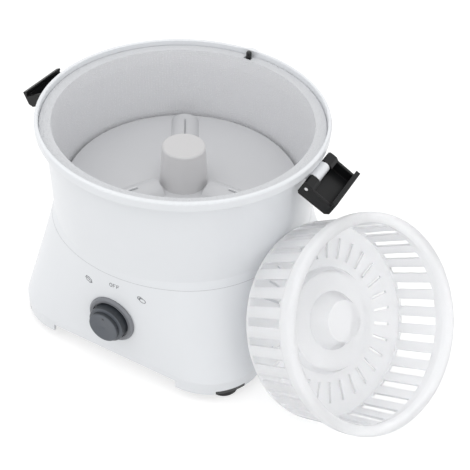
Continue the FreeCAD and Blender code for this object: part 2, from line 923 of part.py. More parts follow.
def pulley(label, radius, bore, x, y):
    body = new_body(label)
    z = s.pulley_z
    top = z + s.pulley
    lip = radius + s.pulley_lip
    revolve(body, [
        (bore + s.fit_gap, z),
        (lip, z),
        (lip, z + s.pulley_flange),
        (radius, z + s.pulley_flange),
        (radius, top - s.pulley_flange),
        (lip, top - s.pulley_flange),
        (lip, top),
        (bore + s.fit_gap, top),
    ])
    if label == "driven_pulley":
        web = rings(body, "XY_Plane", [(radius * s.web_place, 0, radius * s.web_size)], z)
        polar(body, pocket(body, web, s.pulley * 4), s.web_holes)
    place(body, x, y, 0)


def drive_belt():
    """A flat belt round both pulleys, as the outline of two circles and their tangents."""
    x = float(s.motor_x)
    y = float(s.motor_y)
    span = math.hypot(x, y)
    heading = math.degrees(math.atan2(y, x))

    def loop(grow):
        big = float(s.big_pulley_radius) + grow
        small = float(s.small_pulley_radius) + grow
        angle = math.acos((big - small) / span)
        a = V(big * math.cos(angle), big * math.sin(angle), 0)
        b = V(span + small * math.cos(angle), small * math.sin(angle), 0)
        low_a = V(a.x, -a.y, 0)
        low_b = V(b.x, -b.y, 0)
        edges = [Part.Arc(a, V(-big, 0, 0), low_a).toShape(),
                 Part.LineSegment(low_a, low_b).toShape(),
                 Part.Arc(low_b, V(span + small, 0, 0), b).toShape(),
                 Part.LineSegment(b, a).toShape()]
        return Part.Face(Part.Wire(edges))

    gap = float(s.run_gap)
    ring = loop(gap + float(s.belt)).cut(loop(gap))
    margin = float(s.pulley_flange) + 0.5
    belt = ring.extrude(V(0, 0, float(s.pulley) - 2 * margin))
    belt.rotate(V(), TURN_Z, heading)
    belt.translate(V(0, 0, float(s.pulley_z) + margin))
    node(solid_feature(belt, "drive_belt"), "drive_belt")


def motor_chassis():
    low = s.chassis_z
    top = s.motor_floor_z
    reach = s.motor_x + s.chassis_reach
    side = reach + s.chassis_back
    middle = (reach - s.chassis_back) / 2
    items = [box(side, side, s.chassis, middle, middle, low)]
    spots = [(-s.post_back, s.post_side), (s.post_side, -s.post_back),
             (s.post_far, s.post_near), (s.post_near, s.post_far)]
    for x, y in spots:
        items.append(cylinder(s.chassis_post_radius, s.well_floor_z - top + 0.5, x, y, top - 0.5))
    edge = s.waist_radius - s.chassis_gap
    trim = tube(edge * 2, edge, s.well_floor_z)
    depth = s.chassis + 10
    tools = [
        cylinder(s.housing_radius + s.seat_gap, depth, 0, 0, low - 5),
        cylinder(s.small_pulley_radius + s.pulley_lip + 1, depth, s.motor_x, s.motor_y, low - 5),
        trim,
    ]
    node(cut(fuse(items), tools, "motor_chassis"), "motor_chassis")


def motor_can():
    x = s.motor_x
    y = s.motor_y
    low = s.motor_floor_z
    shell = cylinder(s.motor_radius, s.motor + 2, x, y, low)
    hollow = cylinder(s.motor_radius - s.motor_wall, s.motor + 2, x, y, low + 2)
    bore = cylinder(s.motor_shaft_radius + s.run_gap, s.motor, x, y, low - 5)
    node(cut(shell, [hollow, bore], "motor_can"), "motor_can")


def motor_magnets():
    x = s.motor_x
    y = s.motor_y
    low = s.motor_floor_z + s.magnet_rise
    outer = s.motor_radius - s.motor_wall
    ring = tube(outer, outer - s.magnet, s.magnet_length, x, y, low)
    gap = box(s.motor_radius * 3, s.magnet_split, s.motor, x, y, low - 2)
    node(cut(ring, [gap], "motor_magnets"), "motor_magnets")


def motor_end_cap():
    x = s.motor_x
    y = s.motor_y
    low = s.motor_floor_z + s.motor + 2
    items = [tube(s.motor_radius, s.motor_shaft_radius + s.run_gap, s.end_cap, x, y, low)]
    for side in (1, -1):
        items.append(box(s.brush_length, s.brush_width, s.brush_length, x + s.brush_x * side, y,
                         low - s.brush_length))
    node(fuse(items, "motor_end_cap"), "motor_end_cap")


def motor_rotor():
    x = s.motor_x
    y = s.motor_y
    low = s.motor_floor_z
    length = s.motor + s.end_cap + 1 + low - s.shaft_low_z
    shaft = cylinder(s.motor_shaft_radius, length, x, y, s.shaft_low_z)
    stack = cylinder(s.armature_radius, s.armature, x, y, low + s.armature_rise)
    commutator = cylinder(s.commutator_radius, s.commutator, x, y, low + s.motor - s.commutator)
    collar = cylinder(s.winding_collar_radius, s.motor - s.commutator - 2, x, y, low + 3)
    node(fuse([shaft, stack, commutator, collar], "motor_rotor"), "motor_rotor")


# Control knob and its switch, made along +Z and stood on the front wall

def knob_bezel():
    body = new_body("knob_bezel")
    rim = s.bezel_inner_radius
    revolve(body, [
        (s.switch_bush_radius + 0.4, 0.05),
        (s.bezel_radius, 0.05),
        (s.bezel_radius, 0.9),
        (s.bezel_radius - 1.6, s.bezel_height),
        (rim, s.bezel_height),
        (rim, s.bezel_floor),
        (s.switch_bush_radius + 0.4, s.bezel_floor),
    ])
    on_panel(body, s.knob_z)


def control_knob():
    body = new_body("control_knob")
    foot = s.bezel_floor + s.knob_lift
    bore = s.knob_shaft_radius + s.fit_gap
    revolve(body, [
        (bore, foot),
        (s.knob_radius, foot),
        (s.knob_radius, s.knob_step),
        (s.knob_face_radius, s.knob_step + 0.6),
        (s.knob_face_radius, s.knob_height),
        (s.knob_face_radius - s.knob_face_edge, s.knob_height),
        (0, s.knob_height - s.knob_dish),
        (0, s.knob_height - s.knob_top),
        (bore, s.knob_height - s.knob_top),
    ])
    round_rings(body, [(s.knob_radius, s.knob_step)], as_size(0.8))
    round_rings(body, [(s.knob_face_radius, s.knob_height)], as_size(0.6))
    on_panel(body, s.knob_z)


def knob_shaft():
    length = s.knob_height - s.knob_top - 0.1 + s.knob_shaft_back
    item = cylinder(s.knob_shaft_radius, length, 0, 0, -s.knob_shaft_back)
    node(on_panel(group([item], "knob_shaft"), s.knob_z), "knob_shaft")


def rotary_switch():
    wall = s.casing_wall + 0.4
    case = box(s.switch_width, s.switch_width, s.switch_depth, 0, 0, -(s.switch_depth + wall))
    bush = cylinder(s.switch_bush_radius, wall + 1.3, 0, 0, -(wall + 0.5))
    bore = cylinder(s.knob_shaft_radius + s.run_gap, s.knob_shaft_back * 2, 0, 0,
                    -(s.knob_shaft_back + 1.2))
    tabs = [box(0.8, 6, 7, s.switch_tab_pitch * i, 0, -(s.switch_depth + wall + 6.5))
            for i in (-1, 0, 1)]
    item = cut(fuse([case, bush] + tabs), [bore], "rotary_switch")
    node(on_panel(item, s.knob_z), "rotary_switch")


def cord_inlet():
    body = new_body("cord_inlet")
    wall = s.casing_wall + s.seat_gap
    bore = s.cord_bore_radius
    neck = s.cord_neck_radius
    revolve(body, [
        (bore, -(wall + 2.5)),
        (neck + 2.5, -(wall + 2.5)),
        (neck + 2.5, -wall),
        (neck, -wall),
        (neck, 0.05),
        (neck + s.cord_collar, 0.05),
        (neck + s.cord_collar - 1, s.cord_collar_height),
        (bore, s.cord_collar_height),
    ])
    on_panel(body, s.cord_z, True)


def terminal_block():
    top = s.plate_z + s.plate
    y = s.base_half - s.terminal_inset
    height = s.terminal_width
    block = box(s.terminal_length, s.terminal_width, height, 0, y, top)
    wells = [cylinder(s.terminal_pitch / 4, height, s.terminal_pitch * i, y, top + height * 0.6)
             for i in (-1, 0, 1)]
    node(cut(block, wells, "terminal_block"), "terminal_block")


def control_board():
    top = s.plate_z + s.plate
    x = s.board_inset_x - s.base_half
    y = s.base_half - s.board_inset_y
    face = top + s.board_leg + s.board - 0.5
    dx = s.board_length / 2 - s.board_leg_inset
    dy = s.board_width / 2 - s.board_leg_inset
    board = box(s.board_length, s.board_width, s.board, x, y, top + s.board_leg)
    legs = [cylinder(s.board_leg_radius, s.board_leg + 0.5, x + dx * i, y + dy * j, top)
            for i in (-1, 1) for j in (-1, 1)]
    relay = box(s.relay_length, s.relay_width, s.relay_height, x - s.relay_aside, y, face)
    side = s.choke_side
    choke = box(side, side, side, x + s.choke_aside, y + s.choke_back, face)
    capacitor = cylinder(s.capacitor_radius, s.capacitor_height, x + s.capacitor_aside,
                         y - s.capacitor_back, face)
    node(fuse([board, relay, choke, capacitor] + legs, "control_board"), "control_board")


# Latches, made with the hinge axis on Y and the lever along +X, tray side up

def latch(side):
    label = "latch_right" if side > 0 else "latch_left"
    body = new_body(label)
    floor_low = -s.latch_depth
    floor_top = s.latch_wall - s.latch_depth
    reach = s.latch_length
    wall = s.latch_wall
    hook = reach - wall - s.latch_hook
    width = s.latch_half_width * 2
    knuckle = s.knuckle_radius
    outline = polygon(body, "XZ_Plane", [
        (-knuckle + 1.5, floor_low),
        (reach - s.latch_bevel, floor_low),
        (reach, floor_low + s.latch_bevel),
        (reach, s.latch_hook_rise),
        (hook, s.latch_hook_rise),
        (hook, s.latch_hook_rise - 1.8),
        (reach - wall, s.latch_hook_rise - 2.6),
        (reach - wall, s.latch_rise),
        (knuckle + 1.5, s.latch_rise + 0.6),
        (knuckle - 1.5, knuckle),
        (-knuckle + 1.5, knuckle),
        (-knuckle, knuckle - 1.5),
        (-knuckle, floor_low + 2),
    ])
    pad(body, outline, width, True)
    tray = polygon(body, "XZ_Plane", [
        (knuckle + 1.2, floor_top),
        (reach - wall, floor_top),
        (reach - wall, s.latch_hook_rise - 2.6),
        (hook - 0.2, s.latch_hook_rise - 1.8),
        (hook - 0.2, s.latch_hook_rise + 2),
        (knuckle + 1.2, s.latch_hook_rise + 2),
    ])
    pocket(body, tray, width - wall * 2)
    lug_room = polygon(body, "XZ_Plane", [
        (-knuckle - 1, floor_low - 1),
        (1.5, floor_low - 1),
        (1.5, floor_top),
        (knuckle + 1.2, floor_top),
        (knuckle + 1.2, knuckle + 1),
        (-knuckle - 1, knuckle + 1),
    ])
    pocket(body, lug_room, (s.lug_half_width + 0.5) * 2)
    bore = rings(body, "XZ_Plane", [(0, 0, s.hinge_pin_radius + s.run_gap)])
    pocket(body, bore, width + 2)
    turn = FreeCAD.Rotation(TURN_Y, float(s.latch_open_angle))
    if side < 0:
        turn = FreeCAD.Rotation(TURN_Z, 180).multiply(turn)
    place(body, s.hinge_x * side, 0, s.hinge_z, turn)


def hinge_pin(side):
    label = "hinge_pin_right" if side > 0 else "hinge_pin_left"
    length = s.latch_half_width * 2 - 0.6
    item = cylinder(s.hinge_pin_radius, length, s.hinge_x * side, length / 2, s.hinge_z,
                    FreeCAD.Rotation(TURN_X, 90))
    node(item, label)


# Interlock: the lid's pin, its spring and the microswitch

def interlock_pin():
    body = new_body("interlock_pin")
    revolve(body, [
        (0, s.pin_low_z),
        (s.pin_radius, s.pin_low_z),
        (s.pin_radius, s.pin_top_z),
        (0, s.pin_top_z),
    ])
    round_rings(body, [(s.pin_radius, s.pin_top_z)], as_size(1.6))
    arm = polygon(body, "XY_Plane", [
        (-s.pin_radius, -s.pin_arm_length), (s.pin_radius, -s.pin_arm_length),
        (s.pin_radius, 0), (-s.pin_radius, 0),
    ], s.pin_low_z)
    pad(body, arm, s.pin_arm)
    place(body, 0, s.pin_y, 0)


def microswitch():
    top = s.microswitch_z + s.microswitch
    y = s.microswitch_y
    case = box(s.microswitch_length, s.microswitch_width, s.microswitch, 0, y, s.microswitch_z)
    plunger = box(3, 3, s.pin_low_z - s.pin_travel - 0.2 - top + 1, 0, y, top - 1)
    tabs = [box(4, 0.8, 7, x, y, s.microswitch_z - 6.5) for x in (-7, 0, 7)]
    node(fuse([case, plunger] + tabs, "microswitch"), "microswitch")


def interlock_bracket():
    length = s.bracket_length
    y = s.microswitch_y - s.microswitch_width / 2 - 0.1 - s.bracket / 2
    shelf_z = s.microswitch_z + s.shelf_rise
    arm_x = (length - s.bracket) / 2 - 1
    items = [
        box(length, s.bracket, s.well_floor_z - s.microswitch_z, 0, y, s.microswitch_z),
        box(length, s.bracket_tab, s.bracket, 0, y - 5, s.well_floor_z - s.bracket),
        box(length - 2, s.shelf_width, s.shelf, 0, y + s.shelf_ahead, shelf_z),
    ]
    for side in (1, -1):
        arm_length = s.shelf_ahead + s.bracket + 1
        items.append(box(s.bracket, arm_length, s.shelf, arm_x * side, y + 6, shelf_z))
    node(fuse(items, "interlock_bracket"), "interlock_bracket")


def pin_spring():
    """Coil that holds the pin up: the arm sits on it and the bracket carries it."""
    wire = float(s.spring_wire)
    low = float(s.microswitch_z + s.shelf_rise + s.shelf) + wire
    top = float(s.pin_low_z) - wire
    radius = float(s.spring_radius)
    coil = Part.makeHelix((top - low) / float(s.spring_turns), top - low, radius)
    start = V(radius, 0, 0)
    ring = Part.Wire([Part.Circle(start, V(0, 1, 0), wire).toShape()])
    spring = Part.Wire(coil).makePipeShell([ring], True, True)
    spring.translate(V(0, float(s.pin_y - s.spring_inset), low))
    node(solid_feature(spring, "pin_spring"), "pin_spring")


# Salad basket, made standing on its bottom and then leant on the housing

def salad_basket():
    body = new_body("salad_basket")
    wall = s.basket_wall
    top = s.basket_depth
    outer = s.basket_radius
    roll = s.basket_roll
    low = s.basket_low_radius
    neck = low + 1.0
    roll_low = top - s.basket_roll_height
    revolve(body, [
        (0, s.hub_cone_height - s.basket_floor),
        (s.hub_cone_radius - 4, s.hub_cone_height - s.basket_floor),
        (s.hub_cone_radius + 3, s.hub_ring_height - s.basket_floor),
        (s.hub_ring_radius - 3, s.hub_ring_height - s.basket_floor),
        (s.hub_ring_radius, 0),
        (low, 0),
        (neck, roll_low),
        (outer, roll_low),
        (outer, top),
        (outer - roll, top),
        (outer - roll, roll_low + 6),
        (neck - wall, roll_low - 3),
        (low - wall, s.basket_floor),
        (s.hub_ring_radius + 2, s.basket_floor),
        (s.hub_ring_radius - 1, s.hub_ring_height),
        (s.hub_cone_radius + 4, s.hub_ring_height),
        (s.hub_cone_radius - 3, s.hub_cone_height),
        (0, s.hub_cone_height),
    ])
    round_rings(body, [(outer, top), (outer - roll, top)], s.basket_roll_round)
    round_rings(body, [(outer, roll_low)], s.basket_roll_round - 0.8)
    round_rings(body, [(low, 0)], s.basket_foot_round)
    slot = polygon(body, "XZ_Plane", [
        (low - 6, s.basket_slot_low), (low + 6, s.basket_slot_low),
        (low + 6, s.basket_slot_top), (low - 6, s.basket_slot_top),
    ])
    polar(body, pocket(body, slot, s.basket_slot_width), s.basket_slots)
    half = s.floor_slot_width / 2
    ray = polygon(body, "XY_Plane", [
        (s.floor_slot_inner, -half), (s.floor_slot_outer, -half),
        (s.floor_slot_outer, half), (s.floor_slot_inner, half),
    ])
    polar(body, pocket(body, ray, s.basket_floor * 4), s.floor_slots)
    lean = float(s.basket_lean)
    tip = FreeCAD.Rotation(TURN_Z, float(s.basket_turn))
    tip = tip.multiply(FreeCAD.Rotation(TURN_Y, 90 - lean))
    edge = float(s.basket_foot_round)
    slope = math.radians(lean)
    height = (float(low) - edge) * math.cos(slope) + edge * (1 - math.sin(slope))
    x = float(s.base_half + s.basket_away)
    body.Placement = FreeCAD.Placement(V(x, -float(s.basket_aside), height), tip)


upper_casing()
lower_casing()
bottom_plate()
feet()
foot_screws()
peeling_bowl()
peeling_disc()
disc_blades()
centre_column()
drive_spindle()
drive_dog()
spindle_housing()
bearings()
shaft_seal()
pulley("driven_pulley", s.big_pulley_radius, s.shaft_radius, 0, 0)
pulley("motor_pulley", s.small_pulley_radius, s.motor_shaft_radius, s.motor_x, s.motor_y)
drive_belt()
motor_chassis()
motor_can()
motor_magnets()
motor_end_cap()
motor_rotor()
knob_bezel()
control_knob()
knob_shaft()
rotary_switch()
cord_inlet()
terminal_block()
control_board()
for side in (1, -1):
    latch(side)
    hinge_pin(side)
interlock_pin()
microswitch()
interlock_bracket()
pin_spring()
salad_basket()

doc.recompute()
for item in doc.Objects:
    if "Invalid" in item.State or "Error" in item.State:
        raise RuntimeError("failed: " + item.Label)
os.makedirs("parts", exist_ok=True)
for item in nodes:
    shape = item.Shape
    if shape.isNull() or not shape.isValid():
        raise RuntimeError("bad shape: " + item.Label)
    shape.exportStep("parts/" + item.Label + ".step")
    box_size = shape.BoundBox
    print(item.Label, len(shape.Solids), round(shape.Volume, 1), round(box_size.ZMin, 2),
          round(box_size.ZMax, 2))
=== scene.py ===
"""Looks of the electric potato peeler and its salad basket, laid out as an add-on."""

import json
import math

import bpy
from mathutils import Matrix, Vector
from mathutils.bvhtree import BVHTree


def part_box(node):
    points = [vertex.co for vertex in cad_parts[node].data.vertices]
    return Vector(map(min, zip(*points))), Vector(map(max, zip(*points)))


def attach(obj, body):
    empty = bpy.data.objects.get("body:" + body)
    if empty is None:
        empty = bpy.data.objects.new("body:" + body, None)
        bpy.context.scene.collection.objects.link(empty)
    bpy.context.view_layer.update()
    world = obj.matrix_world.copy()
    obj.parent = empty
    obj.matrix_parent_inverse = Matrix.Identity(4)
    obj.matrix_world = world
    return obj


bl_info = {
    "name": "Potato Peeler Looks",
    "version": (1, 0, 0),
    "blender": (4, 5, 0),
    "location": "View3D > Sidebar > Peeler",
    "description": "Finishes, panel marks and studio for the electric potato peeler",
    "category": "Object",
}

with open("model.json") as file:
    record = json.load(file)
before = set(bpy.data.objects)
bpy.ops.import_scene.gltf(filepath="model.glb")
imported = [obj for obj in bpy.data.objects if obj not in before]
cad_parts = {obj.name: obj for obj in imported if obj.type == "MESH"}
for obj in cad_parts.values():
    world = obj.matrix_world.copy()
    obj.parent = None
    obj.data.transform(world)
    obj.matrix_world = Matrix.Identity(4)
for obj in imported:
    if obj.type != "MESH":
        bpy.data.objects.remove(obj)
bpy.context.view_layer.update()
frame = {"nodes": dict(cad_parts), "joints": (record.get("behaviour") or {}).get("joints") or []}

MM = 0.001

# Camera of the photograph, found by fitting the rim, seam, knob and feet
CAMERA_PLACE = Vector((0.309468, -0.523056, 0.591045))
CAMERA_RIGHT = Vector((0.87805, 0.47633, 0.04621))
CAMERA_UP = Vector((-0.34297, 0.55899, 0.75492))
FOCAL_PIXELS = 888.84
PHOTO_PIXELS = 470.0
SENSOR = 36.0

# Studio: greys and strengths of floor and world, and each lamp's place, side and power
FLOOR_SIDE = 6.0
FLOOR_GREY = (0.82, 0.82, 0.82, 1.0)
FLOOR_SEEN_GREY = (0.50, 0.50, 0.50, 1.0)
FLOOR_GLOW = (0.62, 0.62, 0.62, 1.0)
WHITE = (1.0, 1.0, 1.0, 1.0)
WORLD_LIGHT = 0.9
WORLD_SEEN = 1.0
LAMP_AIM = (0, 0, 0.1)
LAMPS = {
    "key": ((-0.9, -0.7, 1.3), 1.4, 3.6),
    "fill": ((1.2, -0.9, 0.8), 1.4, 3.0),
    "top": ((0.1, -0.1, 1.5), 1.2, 4.2),
}

# Texture scales of the plastics, in waves to a metre
CLOUD_SCALE = 24.0
GLOSS_SCALE = 40.0
BOWL_GLOSS_SCALE = 60.0

FEET = ["foot_front_left", "foot_front_right", "foot_rear_left", "foot_rear_right"]

# The control panel: u runs along +X and v up the wall, both from the knob's axis
KNOB_JOINT = [joint for joint in frame["joints"] if joint["child"] == "knob"][0]
PANEL_OUT = Vector(KNOB_JOINT["axis"])
PANEL_UP = Vector((1, 0, 0)).cross(-PANEL_OUT)
OFF_PLACE = (2.9 * MM, 37.0 * MM)
LEAF_PLACE = (-23.0 * MM, 31.0 * MM)
LEAF_LEAN = math.radians(-28)
TUBER_PLACE = (27.0 * MM, 32.4 * MM)
TUBER_LEAN = math.radians(-24)

# Where the rays that find a surface start: in millimetres before the wall and the knob, and in
# metres from the bowl's axis for the seam
WALL_CLEAR = 20
KNOB_CLEAR = 30
SEAM_CLEAR = 0.2
SEAM_POINTS = 240
DOT_POINTS = 24


def colour_value(name, text, default):
    return bpy.props.FloatVectorProperty(name=name, description=text, subtype="COLOR",
                                         size=3, min=0.0, max=1.0, default=default)


def length_value(name, text, default):
    return bpy.props.FloatProperty(name=name, description=text, unit="LENGTH", min=0.0,
                                   precision=5, default=default)


class PeelerColours(bpy.types.PropertyGroup):
    """Colours that a user would change."""
    casing: colour_value("Casing", "Glossy white of the two casings", (0.735, 0.752, 0.775))
    base: colour_value("Base plate", "Grey of the plate under the housing", (0.55, 0.56, 0.58))
    bowl: colour_value("Bowl", "Milky grey of the peeling bowl", (0.80, 0.805, 0.825))
    column: colour_value("Column", "Light grey of the centre column", (0.665, 0.66, 0.665))
    # Column top is painted shade: a darker grey laid on the column's upward faces, so that its
    # top reads darker than its side
    column_top_shade: colour_value("Column top", "Grey of the column's shaded top", (0.545, 0.54, 0.545))
    disc: colour_value("Disc", "Grey of the peeling disc", (0.55, 0.555, 0.57))
    latch: colour_value("Latch", "Black of the latches", (0.007, 0.0073, 0.008))
    bezel: colour_value("Bezel", "Dark grey of the ring round the knob", (0.185, 0.192, 0.21))
    # Knob is painted shade: the darker grey that the knob's sides take against the lighter grey
    # of its face
    knob: colour_value("Knob", "Dark slate grey of the knob's sides", (0.022, 0.026, 0.032))
    knob_face: colour_value("Knob face", "Slate grey of the knob's face", (0.074, 0.084, 0.1))
    basket: colour_value("Basket", "Milky white of the salad basket", (0.965, 0.97, 0.985))
    seam: colour_value("Seam", "Grey of the shadow in the seam", (0.50, 0.51, 0.53))
    rubber: colour_value("Rubber", "Black of feet, seal and belt", (0.012, 0.012, 0.013))
    # Flange is painted shade: a darker grey laid on the bowl's upward faces, the flange above all
    flange_shade: colour_value("Flange", "Grey of the bowl's flange", (0.62, 0.63, 0.65))
    print_ink: colour_value("Marks", "Grey of the marks on the panel", (0.07, 0.075, 0.085))


class PeelerSizes(bpy.types.PropertyGroup):
    """Sizes that a user would change."""
    pimple_pitch: length_value("Pimple pitch", "Spacing of the bowl's rough pimples", 1.8 * MM)
    letter_height: length_value("Letter height", "Height of the letters on the panel", 3.5 * MM)
    letter_width: length_value("Letter width", "Width of one letter", 2.2 * MM)
    mark_line: length_value("Mark line", "Width of the printed lines", 0.5 * MM)
    mark_proud: length_value("Mark proud", "Height of print and seam over the wall", 0.06 * MM)
    seam_line: length_value("Seam line", "Height of the seam between the casings", 0.4 * MM)
    dot_radius: length_value("Dot radius", "Radius of the knob's pointer dot", 1.1 * MM)
    dot_reach: length_value("Dot reach", "Distance of the dot from the knob's axis", 9.0 * MM)
    sole_rise: length_value("Sole rise", "Height to which the rubber laps the legs", 3.4 * MM)
    sole_reach: length_value("Sole reach", "Reach of the rubber round each foot", 19.2 * MM)


def colours():
    return bpy.context.scene.peeler_colours


def sizes():
    return bpy.context.scene.peeler_sizes


# Materials

def new_material(name):
    material = bpy.data.materials.new(name)
    material.use_nodes = True
    return material, material.node_tree, material.node_tree.nodes["Principled BSDF"]


def wire(tree, start, end):
    tree.links.new(start, end)


def object_place(tree, stretch=(1.0, 1.0, 1.0)):
    place = tree.nodes.new("ShaderNodeTexCoord")
    mapping = tree.nodes.new("ShaderNodeMapping")
    mapping.inputs["Scale"].default_value = stretch
    wire(tree, place.outputs["Object"], mapping.inputs["Vector"])
    return mapping.outputs["Vector"]


def noise(tree, vector, scale, detail=3.0):
    texture = tree.nodes.new("ShaderNodeTexNoise")
    texture.inputs["Scale"].default_value = scale
    texture.inputs["Detail"].default_value = detail
    wire(tree, vector, texture.inputs["Vector"])
    return texture.outputs["Fac"]


def ranged(tree, value, start, end, low=0.0, high=1.0, kind="LINEAR"):
    """Maps the range start to end onto low to high, and holds it there."""
    node = tree.nodes.new("ShaderNodeMapRange")
    node.interpolation_type = kind
    node.inputs["From Min"].default_value = start
    node.inputs["From Max"].default_value = end
    node.inputs["To Min"].default_value = low
    node.inputs["To Max"].default_value = high
    wire(tree, value, node.inputs["Value"])
    return node.outputs["Result"]


def spread(tree, value, low, high):
    """Maps the usual reach of a noise onto the range low to high."""
    return ranged(tree, value, 0.3, 0.7, low, high)


def tinted(tree, value, colour, change):
    """A colour that wanders a little about the given one."""
    mix = tree.nodes.new("ShaderNodeMix")
    mix.data_type = "RGBA"
    mix.inputs[6].default_value = [max(0.0, c - change) for c in colour] + [1.0]
    mix.inputs[7].default_value = [min(1.0, c + change) for c in colour] + [1.0]
    wire(tree, value, mix.inputs[0])
    return mix.outputs[2]


def calculated(tree, operation, first, second):
    """The result of a sum on a socket and a second socket or number."""
    node = tree.nodes.new("ShaderNodeMath")
    node.operation = operation
    wire(tree, first, node.inputs[0])
    if isinstance(second, float):
        node.inputs[1].default_value = second
    else:
        wire(tree, second, node.inputs[1])
    return node.outputs[0]


def vector_sum(tree, operation, first, second, output="Value"):
    """The result of a vector sum on a socket and a second socket or vector."""
    node = tree.nodes.new("ShaderNodeVectorMath")
    node.operation = operation
    wire(tree, first, node.inputs[0])
    if isinstance(second, bpy.types.NodeSocket):
        wire(tree, second, node.inputs[1])
    else:
        node.inputs[1].default_value = second
    return node.outputs[output]


def bump(tree, height, depth, strength, edge=0.0):
    """Relief from a height, over edges that are rounded where edge is their radius."""
    node = tree.nodes.new("ShaderNodeBump")
    if edge:
        bevel = tree.nodes.new("ShaderNodeBevel")
        bevel.inputs["Radius"].default_value = edge
        wire(tree, bevel.outputs["Normal"], node.inputs["Normal"])
    node.inputs["Distance"].default_value = depth
    node.inputs["Strength"].default_value = strength
    wire(tree, height, node.inputs["Height"])
    return node


def moulded(name, colour, rough=0.35, grain=320.0, depth=0.01 * MM, strength=0.08, change=0.01,
            coat=0.0, spec=0.5, edge=0.0):
    """Moulded plastic: a fine grain, gloss that varies and a faint cloud in the colour."""
    material, tree, shader = new_material(name)
    place = object_place(tree)
    cloud = noise(tree, place, CLOUD_SCALE)
    wire(tree, tinted(tree, cloud, colour, change), shader.inputs["Base Color"])
    gloss = noise(tree, place, GLOSS_SCALE, 2.0)
    wire(tree, spread(tree, gloss, rough - 0.015, rough + 0.02), shader.inputs["Roughness"])
    relief = bump(tree, noise(tree, place, grain, 2.0), depth, strength, edge)
    wire(tree, relief.outputs["Normal"], shader.inputs["Normal"])
    shader.inputs["Coat Weight"].default_value = coat
    shader.inputs["Coat Roughness"].default_value = 0.12
    shader.inputs["Specular IOR Level"].default_value = spec
    return material


def milky(name, colour, rough, transmission, change=0.008):
    """Milky translucent plastic, lit through from behind."""
    material = moulded(name, colour, rough, change=change)
    shader = material.node_tree.nodes["Principled BSDF"]
    shader.inputs["Transmission Weight"].default_value = transmission
    shader.inputs["Subsurface Weight"].default_value = 0.6
    shader.inputs["Subsurface Radius"].default_value = (1.0, 1.0, 1.0)
    shader.inputs["Subsurface Scale"].default_value = 4.0 * MM
    shader.inputs["IOR"].default_value = 1.2
    return material


def looking(tree, direction):
    """1 where the surface looks along the direction, and 0 across it."""
    facing = tree.nodes.new("ShaderNodeTexCoord").outputs["Normal"]
    return ranged(tree, vector_sum(tree, "DOT_PRODUCT", facing, direction), 0.3, 0.9)


def faced(material, share, colour):
    """Another colour, on the share of the surface that a socket gives."""
    tree = material.node_tree
    shader = tree.nodes["Principled BSDF"]
    mix = tree.nodes.new("ShaderNodeMix")
    mix.data_type = "RGBA"
    wire(tree, share, mix.inputs[0])
    wire(tree, shader.inputs["Base Color"].links[0].from_socket, mix.inputs[6])
    cloud = noise(tree, object_place(tree), CLOUD_SCALE)
    wire(tree, tinted(tree, cloud, colour, 0.006), mix.inputs[7])
    wire(tree, mix.outputs[2], shader.inputs["Base Color"])
    return material


def pimpled(name, colour, flange_shade):
    """The bowl's rough wall: small raised dots on milky plastic."""
    material, tree, shader = new_material(name)
    place = object_place(tree)
    dots = tree.nodes.new("ShaderNodeTexVoronoi")
    dots.inputs["Scale"].default_value = 1.0 / sizes().pimple_pitch
    dots.inputs["Randomness"].default_value = 0.55
    wire(tree, place, dots.inputs["Vector"])
    heap = ranged(tree, dots.outputs["Distance"], 0.12, 0.5, 1.0, 0.0, "SMOOTHSTEP")
    wire(tree, tinted(tree, heap, colour, 0.03), shader.inputs["Base Color"])
    # The bowl's upward faces, the flange most, take the flange grey: painted shade
    level = looking(tree, (0.0, 0.0, 1.0))
    faced(material, level, flange_shade)
    height = calculated(tree, "SUBTRACT", heap, level)
    wire(tree, bump(tree, height, 0.35 * MM, 0.7).outputs["Normal"], shader.inputs["Normal"])
    gloss = noise(tree, place, BOWL_GLOSS_SCALE)
    wire(tree, spread(tree, gloss, 0.3, 0.42), shader.inputs["Roughness"])
    shader.inputs["Transmission Weight"].default_value = 0.08
    return material


def metal(name, colour, rough, grain=900.0, stretch=(1.0, 1.0, 12.0)):
    """Brushed or turned metal: fine lines and a gloss that varies."""
    material, tree, shader = new_material(name)
    lines = noise(tree, object_place(tree, stretch), grain, 4.0)
    wire(tree, tinted(tree, lines, colour, 0.03), shader.inputs["Base Color"])
    wire(tree, spread(tree, lines, rough - 0.06, rough + 0.08), shader.inputs["Roughness"])
    wire(tree, bump(tree, lines, 0.01 * MM, 0.3).outputs["Normal"], shader.inputs["Normal"])
    shader.inputs["Metallic"].default_value = 1.0
    return material


def rubber(name, colour):
    return moulded(name, colour, rough=0.62, grain=1100.0, depth=0.05 * MM, strength=0.5,
                   change=0.004, spec=0.35)


# Mesh helpers

def add_mesh(name, points, faces, material, body, slot):
    """A new piece made from points and faces in the row frame."""
    mesh = bpy.data.meshes.new(name)
    mesh.from_pydata([tuple(point) for point in points], [], faces)
    mesh.validate()
    mesh.update()
    mesh.materials.append(material)
    piece = bpy.data.objects.new(name, mesh)
    bpy.context.scene.collection.objects.link(piece)
    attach(piece, body)
    return piece


